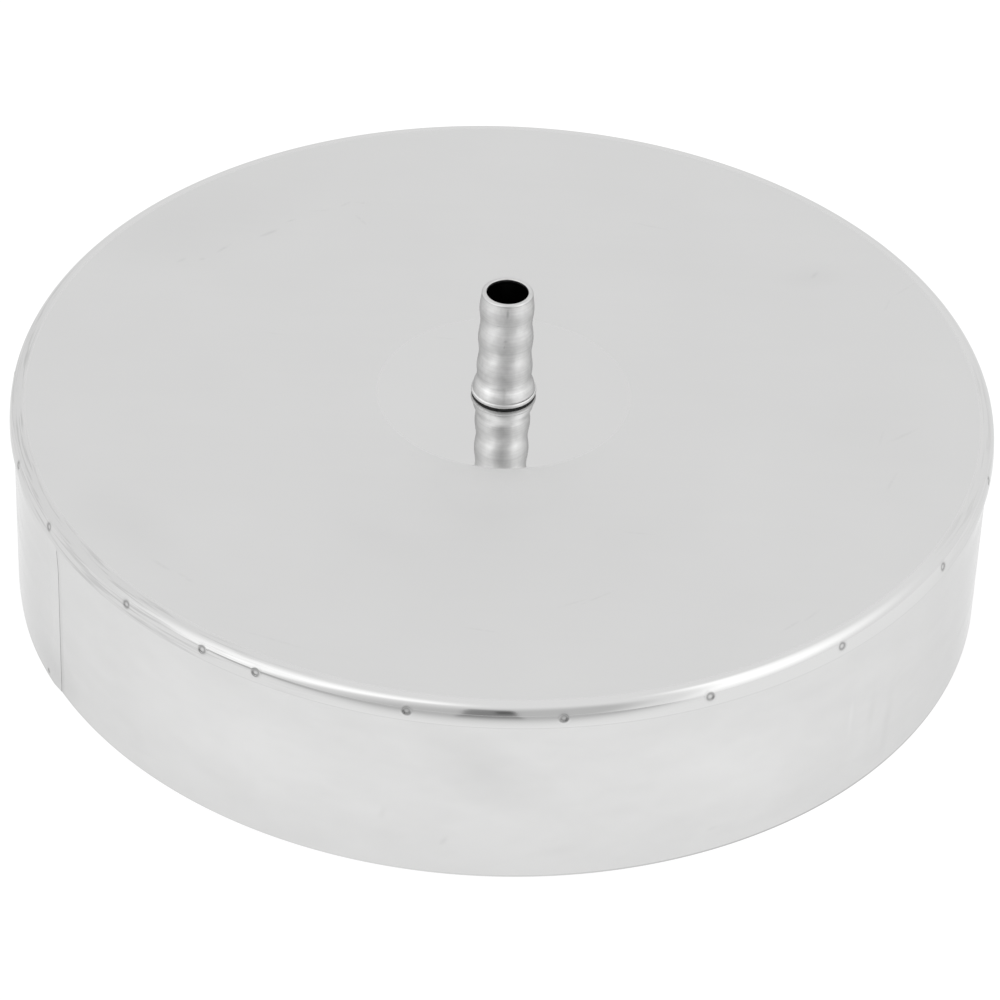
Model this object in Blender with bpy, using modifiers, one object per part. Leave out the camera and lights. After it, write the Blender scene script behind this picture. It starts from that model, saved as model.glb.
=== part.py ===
"""Condensate end cap: a shallow steel cap that closes the lower end of a flue.

The cap is drawn standing on its open edge. The origin is in the middle of that edge, and +Z
points up through the lid and along the drain nipple. All lengths are in metres.
"""
import math

import bmesh
import bpy
from mathutils import Matrix, Vector

# Sheet steel and clearances
SHEET = 0.0005
SEAT_GAP = 0.0003
RIM_GAP = 0.0002
SEAL_GAP = 0.0001

# Skirt: a rolled band, a little wider where it enters the lid
CAP_HEIGHT = 0.060
SKIRT_RADIUS = 0.140
SKIRT_FLARE = 0.0004
SKIRT_FLARE_HEIGHT = 0.012
FLARE_STEPS = 4

# Lap joint of the skirt, measured round the band from the free edge of its outer end
LAP_AZIMUTH = math.radians(-150)
LAP_WIDTH = 0.016
LAP_JOGGLE_WIDTH = 0.034
LAP_FADE_HEIGHT = 0.003
LAP_WELD_HEIGHT = 0.004

# Lid: a pressed disc with a rounded rim and a flange that is turned down over the skirt
RIM_RADIUS = 0.0035
FLANGE_DEPTH = 0.0063

# Spot welds through the flange. They are set by eye along one half, and evenly along the other.
WELD_DIAMETER = 0.0026
WELD_FLOOR_DIAMETER = 0.0016
WELD_DEPTH = 0.0002
WELD_HEIGHT = 0.0032
WELDS_BY_EYE = (-163.5, -151.5, -135, -123.5, -116.5, -99, -82, -65.5, -48, -29, -16)
EVEN_WELDS = 11

# Drain nipple: a steel tube with soft hose ribs, a collar, and a lower end turned outwards
TUBE_RADIUS = 0.0076
TUBE_WALL = 0.0012
RIB_COUNT = 3
RIB_PITCH = 0.01015
RIB_HEIGHT = 0.00045
MOUTH_RADIUS = 0.0073
MOUTH_BORE_RADIUS = 0.00595
MOUTH_RISE = 0.0002
LIP_RADIUS = 0.0010
LIP_DEPTH = 0.0009
LIP_CHAMFER = 0.0001
LIP_EASE = 0.0012
COLLAR_HEIGHT = 0.0046
COLLAR_SHOULDER_RADIUS = 0.0085
COLLAR_FILLET = 0.0010
COLLAR_FILLET_CUT = 0.00025
COLLAR_BEAD_RADIUS = 0.00095
COLLAR_RADIUS = 0.00937
CREASE_ANGLE = math.radians(50)
TRUMPET_RADIUS = 0.0022
CLINCH_LAND = 0.0012
CLINCH_THICKNESS = 0.0010

# Sealing washer under the collar
SEAL_RADIUS = 0.0092
SEAL_THICKNESS = 0.0005

# Fineness of the turned shapes
RING_STEPS = 96
LAP_STEPS = 2
NIPPLE_STEPS = 36
RIM_STEPS = 6
RIB_STEPS = 8
BORE_RIB_STEPS = 4
BEAD_STEPS = 5
LIP_STEPS = 4
TRUMPET_STEPS = 4
WELD_SIDES = 12
MERGE_DISTANCE = 0.00001
SHARP_ANGLE = math.radians(30)

# Places worked out from the sizes above
LID_RADIUS = SKIRT_RADIUS + SKIRT_FLARE + SEAT_GAP + SHEET
FLANGE_BOTTOM = CAP_HEIGHT - FLANGE_DEPTH
RIM_INNER_RADIUS = RIM_RADIUS - SHEET
RIM_CENTRE = (LID_RADIUS - RIM_RADIUS, CAP_HEIGHT - RIM_RADIUS)
SKIRT_RISE = math.sqrt((RIM_INNER_RADIUS - RIM_GAP) ** 2 - (RIM_INNER_RADIUS - SEAT_GAP) ** 2)
SKIRT_TOP = RIM_CENTRE[1] + SKIRT_RISE
HOLE_RADIUS = TUBE_RADIUS + SEAT_GAP
COLLAR_SEAT = CAP_HEIGHT + SEAL_THICKNESS + 2 * SEAL_GAP
RIB_START = CAP_HEIGHT + COLLAR_HEIGHT
RIB_END = RIB_START + RIB_COUNT * RIB_PITCH
MOUTH_TOP = RIB_END + MOUTH_RISE
CLINCH_TOP = CAP_HEIGHT - SHEET - SEAT_GAP
CLINCH_BOTTOM = CLINCH_TOP - CLINCH_THICKNESS
BORE_RADIUS = TUBE_RADIUS - TUBE_WALL


def ease(share):
    """A soft step from 0 to 1, held at both ends."""
    share = min(max(share, 0.0), 1.0)
    return (1 - math.cos(math.pi * share)) / 2


def arc(centre, radius, start, end, steps):
    """Points (r, z) along an arc, whose angles are measured up from the outward direction."""
    points = []
    for i in range(steps + 1):
        angle = start + (end - start) * i / steps
        points.append((centre[0] + radius * math.cos(angle), centre[1] + radius * math.sin(angle)))
    return points


def steel(name, roughness):
    """Bare stainless steel."""
    material = bpy.data.materials.new(name)
    material.use_nodes = True
    shader = material.node_tree.nodes["Principled BSDF"]
    shader.inputs["Base Color"].default_value = (0.72, 0.72, 0.71, 1)
    shader.inputs["Metallic"].default_value = 1.0
    shader.inputs["Roughness"].default_value = roughness
    return material


def rubber(name):
    """Black sealing rubber."""
    material = bpy.data.materials.new(name)
    material.use_nodes = True
    shader = material.node_tree.nodes["Principled BSDF"]
    shader.inputs["Base Color"].default_value = (0.012, 0.012, 0.012, 1)
    shader.inputs["Roughness"].default_value = 0.6
    return material


def add_object(name, mesh, collection, material):
    """Link a mesh to the collection as a named object with one material."""
    obj = bpy.data.objects.new(name, mesh)
    obj.data.materials.clear()
    obj.data.materials.append(material)
    collection.objects.link(obj)
    return obj


def turn(name, section, steps, collection, material):
    """Revolve a closed section, whose outer side runs downwards, about the Z axis."""
    count = len(section)
    edges = [(i, (i + 1) % count) for i in range(count)]
    mesh = bpy.data.meshes.new(name)
    mesh.from_pydata([(r, 0, z) for r, z in section], edges, [])
    obj = add_object(name, mesh, collection, material)
    screw = obj.modifiers.new("Turn", 'SCREW')
    screw.axis = 'Z'
    screw.steps = steps
    screw.render_steps = steps
    screw.use_merge_vertices = True
    screw.merge_threshold = MERGE_DISTANCE
    return obj


def apply_modifiers(obj):
    """Make the modified mesh the object's own, shaded smooth between its sharp edges."""
    evaluated = obj.evaluated_get(bpy.context.evaluated_depsgraph_get())
    mesh = bpy.data.meshes.new_from_object(evaluated)
    obj.modifiers.clear()
    obj.data = mesh
    mesh.shade_smooth()
    mesh.set_sharp_from_angle(angle=SHARP_ANGLE)


def cut(obj, cutter):
    """Take the cutter out of the object."""
    boolean = obj.modifiers.new("Cut", 'BOOLEAN')
    boolean.operation = 'DIFFERENCE'
    boolean.object = cutter


def weld_cutter(name, welds, collection):
    """Flat-bottomed cones that leave the dimples of spot welds, at (azimuth, radius, height)."""
    reach = SHEET
    floor_radius = WELD_FLOOR_DIAMETER / 2
    slope = (WELD_DIAMETER - WELD_FLOOR_DIAMETER) / 2 / WELD_DEPTH
    length = WELD_DEPTH + reach
    bm = bmesh.new()
    for azimuth, radius, height in welds:
        outward = Vector((math.cos(azimuth), math.sin(azimuth), 0))
        middle = outward * (radius - WELD_DEPTH + length / 2) + Vector((0, 0, height))
        turned = outward.to_track_quat('Z', 'Y').to_matrix().to_4x4()
        bmesh.ops.create_cone(bm, cap_ends=True, segments=WELD_SIDES, radius1=floor_radius,
                              radius2=floor_radius + slope * length, depth=length,
                              matrix=Matrix.Translation(middle) @ turned)
    mesh = bpy.data.meshes.new(name)
    bm.to_mesh(mesh)
    bm.free()
    cutter = bpy.data.objects.new(name, mesh)
    cutter.hide_render = True
    cutter.display_type = 'WIRE'
    collection.objects.link(cutter)
    return cutter


def flange_welds():
    """Where the spot welds sit on the lid's flange."""
    azimuths = list(WELDS_BY_EYE)
    pitch = (360 + WELDS_BY_EYE[0] - WELDS_BY_EYE[-1]) / (EVEN_WELDS + 1)
    azimuths += [WELDS_BY_EYE[-1] + pitch * (i + 1) for i in range(EVEN_WELDS)]
    height = FLANGE_BOTTOM + WELD_HEIGHT
    return [(math.radians(azimuth), LID_RADIUS, height) for azimuth in azimuths]


def build_lid(collection, cutters, material):
    """A disc with a hole for the nipple, a rounded rim and a flange, all of one sheet."""
    section = [(HOLE_RADIUS, CAP_HEIGHT)]
    section += arc(RIM_CENTRE, RIM_RADIUS, math.pi / 2, 0, RIM_STEPS)
    section += [(LID_RADIUS, FLANGE_BOTTOM), (LID_RADIUS - SHEET, FLANGE_BOTTOM)]
    section += arc(RIM_CENTRE, RIM_INNER_RADIUS, 0, math.pi / 2, RIM_STEPS)
    section += [(HOLE_RADIUS, CAP_HEIGHT - SHEET)]
    lid = turn("lid", section, RING_STEPS, collection, material)
    cut(lid, weld_cutter("flange_weld_cutter", flange_welds(), cutters))
    apply_modifiers(lid)


def skirt_radius(height):
    """Outer radius of the band, which widens below the lid's flange."""
    share = (height - FLANGE_BOTTOM + SKIRT_FLARE_HEIGHT) / SKIRT_FLARE_HEIGHT
    return SKIRT_RADIUS + SKIRT_FLARE * ease(share)


def skirt_levels():
    """Heights of the band's rings, from its top edge down."""
    flare = [FLANGE_BOTTOM - SKIRT_FLARE_HEIGHT * i / FLARE_STEPS for i in range(FLARE_STEPS + 1)]
    levels = [SKIRT_TOP, FLANGE_BOTTOM - LAP_FADE_HEIGHT, 0.0] + flare
    return sorted({round(level, 6) for level in levels}, reverse=True)


def lap_rise(height):
    """How far the outer end stands out over the inner one: flush under the lid's flange."""
    return SHEET * min(max((FLANGE_BOTTOM - height) / LAP_FADE_HEIGHT, 0.0), 1.0)


def sweep_band(bm, start, end, steps, outer_rise, inner_rise):
    """Sweep the band's wall between two distances round from the free edge, as angles.

    Each rise is the share of the lap's step by which that side stands out at an angle.
    """
    heights = skirt_levels()
    outer = [(skirt_radius(z), z) for z in heights]
    inner = [(skirt_radius(z) - SHEET, z) for z in reversed(heights)]
    section = outer + inner
    if inner_rise(start) < outer_rise(start):
        section.insert(len(outer), (skirt_radius(0) - SHEET / 2, 0))
    turned = Matrix.Rotation(LAP_AZIMUTH - start, 3, 'Z')
    verts = [bm.verts.new(turned @ Vector((r, 0, z))) for r, z in section]
    edges = [bm.edges.new((verts[i - 1], verts[i])) for i in range(len(verts))]
    before = set(bm.verts)
    bmesh.ops.spin(bm, geom=verts + edges, cent=(0, 0, 0), axis=(0, 0, 1),
                   angle=start - end, steps=steps, use_merge=False)
    middle = Matrix.Rotation((start + end) / 2 - LAP_AZIMUTH, 3, 'Z')
    for vert in verts + [v for v in bm.verts if v not in before]:
        place = middle @ vert.co
        angle = (start + end) / 2 - math.atan2(place.y, place.x)
        radius = math.hypot(place.x, place.y)
        depth = skirt_radius(vert.co.z) - radius
        if depth < SHEET / 4:
            rise = lap_rise(vert.co.z) * outer_rise(angle)
        elif depth > SHEET * 3 / 4:
            rise = lap_rise(vert.co.z) * inner_rise(angle)
        else:
            rise = depth
        vert.co.xy *= (radius + rise) / radius


def build_skirt(collection, cutters, material):
    """A band of sheet rolled to a ring, whose outer end laps over the inner one."""
    lap = LAP_WIDTH / SKIRT_RADIUS
    joggle = LAP_JOGGLE_WIDTH / SKIRT_RADIUS

    def raised(angle):
        return ease(1 - (angle - lap) / joggle)

    bm = bmesh.new()
    sweep_band(bm, lap, math.tau, RING_STEPS - LAP_STEPS, raised, raised)
    sweep_band(bm, 0.0, lap, LAP_STEPS, lambda angle: 1.0, lambda angle: 0.0)
    bmesh.ops.remove_doubles(bm, verts=bm.verts, dist=MERGE_DISTANCE)
    bmesh.ops.holes_fill(bm, edges=bm.edges, sides=0)
    bmesh.ops.recalc_face_normals(bm, faces=bm.faces)
    mesh = bpy.data.meshes.new("skirt")
    bm.to_mesh(mesh)
    bm.free()
    skirt = add_object("skirt", mesh, collection, material)
    weld = (LAP_AZIMUTH - lap / 2, SKIRT_RADIUS + SHEET, LAP_WELD_HEIGHT)
    cut(skirt, weld_cutter("lap_weld_cutter", [weld], cutters))
    apply_modifiers(skirt)


def tube_radius(height):
    """Outer radius of the tube along its ribs: it narrows a little towards the mouth."""
    share = (height - RIB_START) / (RIB_END - RIB_START)
    wave = (1 - math.cos(math.tau * (height - RIB_START) / RIB_PITCH)) / 2
    return TUBE_RADIUS + (MOUTH_RADIUS - TUBE_RADIUS) * share + RIB_HEIGHT * wave


def rib_side(top, bottom, steps_per_rib, inset):
    """The ribbed side of the tube from top to bottom, at a depth below its outer face."""
    steps = max(2, round(steps_per_rib * (top - bottom) / RIB_PITCH))
    heights = [top + (bottom - top) * i / steps for i in range(steps + 1)]
    return [(tube_radius(z) - inset, z) for z in heights]


def nipple_section():
    """The tube's wall, from the mouth down its outer side and up the bore."""
    lip_start = MOUTH_TOP - LIP_RADIUS
    lip_centre = (tube_radius(lip_start) - LIP_RADIUS, lip_start)
    section = arc(lip_centre, LIP_RADIUS, math.pi / 2, 0, LIP_STEPS)[:-1]
    collar_top = RIB_START + COLLAR_FILLET
    section += rib_side(lip_start, collar_top, RIB_STEPS, 0)
    bead_centre = (COLLAR_RADIUS - COLLAR_BEAD_RADIUS, COLLAR_SEAT + COLLAR_BEAD_RADIUS)
    section += [(tube_radius(collar_top) + COLLAR_FILLET_CUT, RIB_START + COLLAR_FILLET_CUT)]
    section += [(COLLAR_SHOULDER_RADIUS, RIB_START - COLLAR_FILLET_CUT)]
    section += arc(bead_centre, COLLAR_BEAD_RADIUS, CREASE_ANGLE, -math.pi / 2, BEAD_STEPS)
    section += [(TUBE_RADIUS, COLLAR_SEAT), (TUBE_RADIUS, CLINCH_TOP)]
    trumpet_centre = (BORE_RADIUS + TRUMPET_RADIUS, CLINCH_BOTTOM + TRUMPET_RADIUS)
    clinch_radius = trumpet_centre[0] + CLINCH_LAND
    section += [(clinch_radius, CLINCH_TOP), (clinch_radius, CLINCH_BOTTOM)]
    section += arc(trumpet_centre, TRUMPET_RADIUS, -math.pi / 2, -math.pi, TRUMPET_STEPS)
    bore_top = MOUTH_TOP - LIP_DEPTH - LIP_EASE
    section += rib_side(bore_top, RIB_START, BORE_RIB_STEPS, TUBE_WALL)[::-1]
    section += [(MOUTH_BORE_RADIUS, MOUTH_TOP - LIP_DEPTH)]
    section += [(MOUTH_BORE_RADIUS, MOUTH_TOP - LIP_CHAMFER)]
    section += [(MOUTH_BORE_RADIUS + LIP_CHAMFER, MOUTH_TOP)]
    return section


def build_nipple(collection, material):
    """The drain nipple, clamped in the lid between its collar and its turned lower end."""
    nipple = turn("drain_nipple", nipple_section(), NIPPLE_STEPS, collection, material)
    apply_modifiers(nipple)


def build_seal(collection, material):
    """The washer that the collar squeezes against the lid."""
    bottom = CAP_HEIGHT + SEAL_GAP
    top = bottom + SEAL_THICKNESS
    section = [(SEAL_RADIUS, top), (SEAL_RADIUS, bottom), (HOLE_RADIUS, bottom), (HOLE_RADIUS, top)]
    seal = turn("seal_ring", section, NIPPLE_STEPS, collection, material)
    apply_modifiers(seal)


def main():
    for obj in list(bpy.data.objects):
        bpy.data.objects.remove(obj, do_unlink=True)
    cap = bpy.data.collections.new("condensate_end_cap")
    cutters = bpy.data.collections.new("cutters")
    for collection in (cap, cutters):
        bpy.context.scene.collection.children.link(collection)
    bright_steel = steel("bright_steel", 0.12)
    tube_steel = steel("tube_steel", 0.22)
    build_skirt(cap, cutters, bright_steel)
    build_lid(cap, cutters, bright_steel)
    build_nipple(cap, tube_steel)
    build_seal(cap, rubber("seal_rubber"))


main()
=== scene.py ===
"""Looks of the condensate end cap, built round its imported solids.

Lengths are in metres, in the part's own frame: +Z is up and the origin is in the middle of the
cap's open edge. Azimuths run anticlockwise from +X seen from above, so -90 degrees is the front.
"""
import math

import bmesh
import bpy
from mathutils import Matrix, Vector


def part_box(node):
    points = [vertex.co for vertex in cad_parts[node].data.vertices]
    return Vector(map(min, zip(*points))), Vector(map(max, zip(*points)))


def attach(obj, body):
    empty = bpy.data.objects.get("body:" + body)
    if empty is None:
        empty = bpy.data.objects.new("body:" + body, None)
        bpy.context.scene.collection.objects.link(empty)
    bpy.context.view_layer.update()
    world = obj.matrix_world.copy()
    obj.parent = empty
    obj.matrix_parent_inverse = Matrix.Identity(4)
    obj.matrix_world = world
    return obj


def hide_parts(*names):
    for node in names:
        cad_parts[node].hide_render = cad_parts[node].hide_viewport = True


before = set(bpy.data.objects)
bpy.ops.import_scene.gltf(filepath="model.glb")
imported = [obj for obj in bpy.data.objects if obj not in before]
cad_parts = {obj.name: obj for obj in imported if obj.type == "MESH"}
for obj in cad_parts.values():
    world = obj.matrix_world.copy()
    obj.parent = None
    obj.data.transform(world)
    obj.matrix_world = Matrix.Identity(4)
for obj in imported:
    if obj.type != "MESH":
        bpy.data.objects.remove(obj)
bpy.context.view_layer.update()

# Camera: the photograph's viewing angle
CAMERA_AIM = (0.0003, -0.0506, 0.0600)
CAMERA_DISTANCE = 1.3361
CAMERA_ELEVATION = math.radians(37.74)
CAMERA_ROLL = math.radians(-2.40)
CAMERA_LENS = 172.8
CAMERA_SENSOR = 36.0

# Sizes that the frame gives
LID_LOW, LID_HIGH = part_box("lid")
NIPPLE_LOW, NIPPLE_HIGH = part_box("drain_nipple")
CAP_HEIGHT = LID_HIGH.z
FLANGE_BOTTOM = LID_LOW.z
SKIRT_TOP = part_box("skirt")[1].z
MOUTH_TOP = NIPPLE_HIGH.z
CLINCH_BOTTOM = NIPPLE_LOW.z
SEAL_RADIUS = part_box("seal_ring")[1].x

# Sheet, and the darker lines along its cut edges. Along the skirt's bottom edge, EDGE_SHADE_RIGHT adds
# painted shade that is deepest towards the right front, at EDGE_DARKEST.
SHEET = 0.0005
EDGE_CHAMFER = 0.00006
EDGE_MARK = 0.00045
EDGE_MARK_END = EDGE_MARK * 1.4
EDGE_SHADE = 0.15
EDGE_SHADE_RIGHT = 1.3
EDGE_DARKEST = math.radians(-50)
EDGE_FOCUS = 6

# Lid: a flat disc whose rounded rim turns into a flange that leans in and curves to upright
FLAT_RINGS = (0.012, 0.030, 0.070, 0.110, 0.130, 0.1345)
SUPPORT_WIDTH = 0.0004
RIM_MIDDLE = math.radians(48)
FLANGE_LEAN = math.radians(12)
FLANGE_CURVE = 0.0168

# Skirt and its lap joint. The lap's outer end is tapered, with a soft painted shade beside it, whose
# steps are counted from that end, and which changes between two shares of the skirt's height.
SKIRT_RADIUS = 0.140
SKIRT_FLARE = 0.0004
SKIRT_FLARE_HEIGHT = 0.012
SKIRT_TUCK = 0.00025
PLAIN_LEVELS = tuple(0.010 + 0.004 * i for i in range(8))
LAP_AZIMUTH = math.radians(-150)
LAP_WIDTH = 0.016
LAP_JOGGLE_WIDTH = 0.034
LAP_FADE_HEIGHT = 0.003
LAP_WELD_HEIGHT = 0.0019
LAP_WELD_SIZE = 0.6
LAP_WELD_ROWS = range(-6, 8)
LAP_GAP = 0.00003
LAP_BEVEL_WIDTH = 0.0040
LAP_BEVEL_STEPS = 8
LAP_BEVEL_LEFT = 0.00001
LAP_SHADE_WIDTH = 0.0024
LAP_SHADE_STEPS = (0.01, 1, 2, 3, 4)
LAP_SHADE = 0.45
LAP_SHADE_LOW = 0.80
LAP_SHADE_CHANGE = (0.25, 0.75)

# Spot welds: a crater with a slight lip, and a dark ring with a faint halo, as shares of its radius
WELD_HEIGHT = 0.0032
WELD_RADIUS = 0.00130
WELD_FLOOR_RADIUS = 0.00070
WELD_DEPTH = 0.00016
WELD_LIP = 0.00003
WELD_LIP_AT = 1.15
WELD_LIP_SPREAD = 0.2
WELD_RING_AT = 0.70
WELD_RING_SPREAD = 0.30
WELD_RING_SHADE = 0.62
WELD_HALO_SPREAD = 1.1
WELD_HALO_SHADE = 0.16
WELD_PATCH = 0.0022
WELD_PATCH_STEP = 0.00025
WELDS_BY_EYE = (-163.5, -151.5, -135, -123.5, -116.5, -99, -82, -65.5, -48, -29)
EVEN_WELDS = 12

# Drain nipple. The collar's flare is a list of radius and height above the lid, in mm.
SEAT_GAP = 0.0003
TUBE_RADIUS = 0.0076
TUBE_WALL = 0.0012
RIB_COUNT = 3
RIB_PITCH = 0.01015
RIB_HEIGHT = 0.00045
MOUTH_RADIUS = 0.0073
MOUTH_BORE_RADIUS = 0.00595
LIP_RADIUS = 0.0006
LIP_INNER_RADIUS = 0.00020
LIP_DEPTH = 0.0009
LIP_EASE = 0.0012
COLLAR_HEIGHT = 0.0046
COLLAR_FLARE_TOP = 0.0069
COLLAR_FLARE = ((7.79, 6.5), (7.88, 6.0), (8.02, 5.5), (8.20, 5.0), (8.40, 4.5), (8.57, 4.0),
                (8.70, 3.5), (8.80, 3.0), (8.88, 2.6), (8.93, 2.3))
COLLAR_RADIUS = 0.00937
COLLAR_BEAD_RADIUS = 0.00095
SEAL_THICKNESS = 0.00035
COLLAR_SEAT = CAP_HEIGHT + SEAL_THICKNESS
CREASE_ANGLE = math.radians(50)
CREASE_WIDTH = math.radians(6)
CREASE_DEPTH = 0.00025
CREASE_AZIMUTH = math.radians(-35)
TRUMPET_RADIUS = 0.0022
CLINCH_LAND = 0.0012
CLINCH_TOP = CAP_HEIGHT - SHEET - SEAT_GAP
HOLE_RADIUS = TUBE_RADIUS + SEAT_GAP
SEAL_ROUNDING = 0.00012

# Fineness of the meshes
RING_STEPS = 384
RIM_TOP_STEPS = 10
RIM_LOW_STEPS = 9
RIM_INNER_STEPS = 8
FLANGE_STEPS = 14
FLANGE_INNER_STEPS = 3
FLARE_STEPS = 12
NIPPLE_STEPS = 144
NIPPLE_LIP_STEPS = 10
NIPPLE_LIP_INNER_STEPS = 4
RIB_STEPS = 66
BORE_STEPS = 24
BEAD_STEPS = 12
TRUMPET_STEPS = 8
SEAL_STEPS = 4
SHARP_ANGLE = math.radians(25)
SAME_ANGLE = 1e-5

# Places worked out from the sizes above
LID_RADIUS = LID_HIGH.x - WELD_LIP
RIB_START = CAP_HEIGHT + COLLAR_HEIGHT
RIB_END = RIB_START + RIB_COUNT * RIB_PITCH
FLANGE_CENTRE = (LID_RADIUS - FLANGE_CURVE, FLANGE_BOTTOM)
RIM_LOW = (FLANGE_CENTRE[0] + FLANGE_CURVE * math.cos(FLANGE_LEAN),
           FLANGE_CENTRE[1] + FLANGE_CURVE * math.sin(FLANGE_LEAN))
RIM_RADIUS = (CAP_HEIGHT - RIM_LOW[1]) / (1 - math.sin(FLANGE_LEAN))
RIM_CENTRE = (RIM_LOW[0] - RIM_RADIUS * math.cos(FLANGE_LEAN), CAP_HEIGHT - RIM_RADIUS)
BORE_RADIUS = TUBE_RADIUS - TUBE_WALL


def ease(share):
    """A soft step from 0 to 1, held at both ends."""
    share = min(max(share, 0.0), 1.0)
    return (1 - math.cos(math.pi * share)) / 2


def on_circle(centre, radius, angle):
    """The point (r, z) of a circle at an angle, measured up from the outward direction."""
    return (centre[0] + radius * math.cos(angle), centre[1] + radius * math.sin(angle))


def arc(centre, radius, start, end, steps):
    """Points (r, z) along an arc, from one angle to another."""
    return [on_circle(centre, radius, start + (end - start) * i / steps) for i in range(steps + 1)]


def turn_between(first, second):
    """The smaller angle between two directions round the axis."""
    return abs((first - second + math.pi) % math.tau - math.pi)


def weld_azimuths():
    """Azimuths of the flange's spot welds: listed along one half, evenly along the other."""
    azimuths = list(WELDS_BY_EYE)
    pitch = (360 + WELDS_BY_EYE[0] - WELDS_BY_EYE[-1]) / (EVEN_WELDS + 1)
    azimuths += [WELDS_BY_EYE[-1] + pitch * (i + 1) for i in range(EVEN_WELDS)]
    return [math.radians(a) for a in azimuths]


def ring_angles(centres, radius, start, end, steps):
    """Even angles from start to end, with finer ones across a weld patch at each centre."""
    angles = [start + (end - start) * i / steps for i in range(steps + 1)]
    count = round(WELD_PATCH / WELD_PATCH_STEP)
    for centre in centres:
        for i in range(-count, count + 1):
            angle = centre + i * WELD_PATCH_STEP / radius
            turns = math.floor((angle - start) / math.tau)
            angle -= turns * math.tau
            if angle < end:
                angles.append(angle)
    angles.sort()
    kept = [angles[0]]
    for angle in angles[1:]:
        if angle - kept[-1] > SAME_ANGLE:
            kept.append(angle)
    return kept


def weld_ring(distance):
    """How dark a spot weld's mark is: a ring with a lighter middle."""
    share = distance / WELD_RADIUS
    ring = math.exp(-((share - WELD_RING_AT) / WELD_RING_SPREAD) ** 2)
    halo = math.exp(-(share / WELD_HALO_SPREAD) ** 2)
    return WELD_RING_SHADE * ring + WELD_HALO_SHADE * halo


def dimple(distance):
    """Depth of a spot weld's mark at a distance from its centre: a crater with a slight lip."""
    slope = ease((WELD_RADIUS - distance) / (WELD_RADIUS - WELD_FLOOR_RADIUS))
    lip = math.exp(-((distance / WELD_RADIUS - WELD_LIP_AT) / WELD_LIP_SPREAD) ** 2)
    return WELD_DEPTH * slope - WELD_LIP * lip


def swept_mesh(name, section, angles, place, closed):
    """A mesh of the section's points swept through the angles, each put where place() says.

    The ends of an open sweep are closed point by point across the section's thickness.
    """
    bm = bmesh.new()
    rings = [[bm.verts.new(place(angle, point)) for point in section] for angle in angles]
    pairs = list(zip(rings, rings[1:]))
    if closed:
        pairs.append((rings[-1], rings[0]))
    count = len(section)
    for before, after in pairs:
        for i in range(count):
            j = (i + 1) % count
            bm.faces.new((before[i], before[j], after[j], after[i]))
    ends = () if closed else (rings[0], rings[-1])
    for ring in ends:
        for i in range(count // 2 - 1):
            bm.faces.new((ring[i], ring[i + 1], ring[count - 2 - i], ring[count - 1 - i]))
    bmesh.ops.recalc_face_normals(bm, faces=bm.faces)
    mesh = bpy.data.meshes.new(name)
    bm.to_mesh(mesh)
    bm.free()
    mesh.shade_smooth()
    mesh.set_sharp_from_angle(angle=SHARP_ANGLE)
    return mesh


def around(angle, point):
    """A section's point turned to an angle."""
    return (point[0] * math.cos(angle), point[0] * math.sin(angle), point[1])


def add_piece(name, mesh, node, material):
    """A piece that stands for a CAD node and rides on the only body."""
    piece = bpy.data.objects.new(name, mesh)
    bpy.context.scene.collection.objects.link(piece)
    piece.data.materials.append(material)
    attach(piece, "root")
    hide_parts(node)
    return piece


def mark(mesh, name, values):
    """Keep a number for each vertex, which the material reads."""
    attribute = mesh.attributes.new(name, 'FLOAT', 'POINT')
    attribute.data.foreach_set("value", values)


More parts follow.
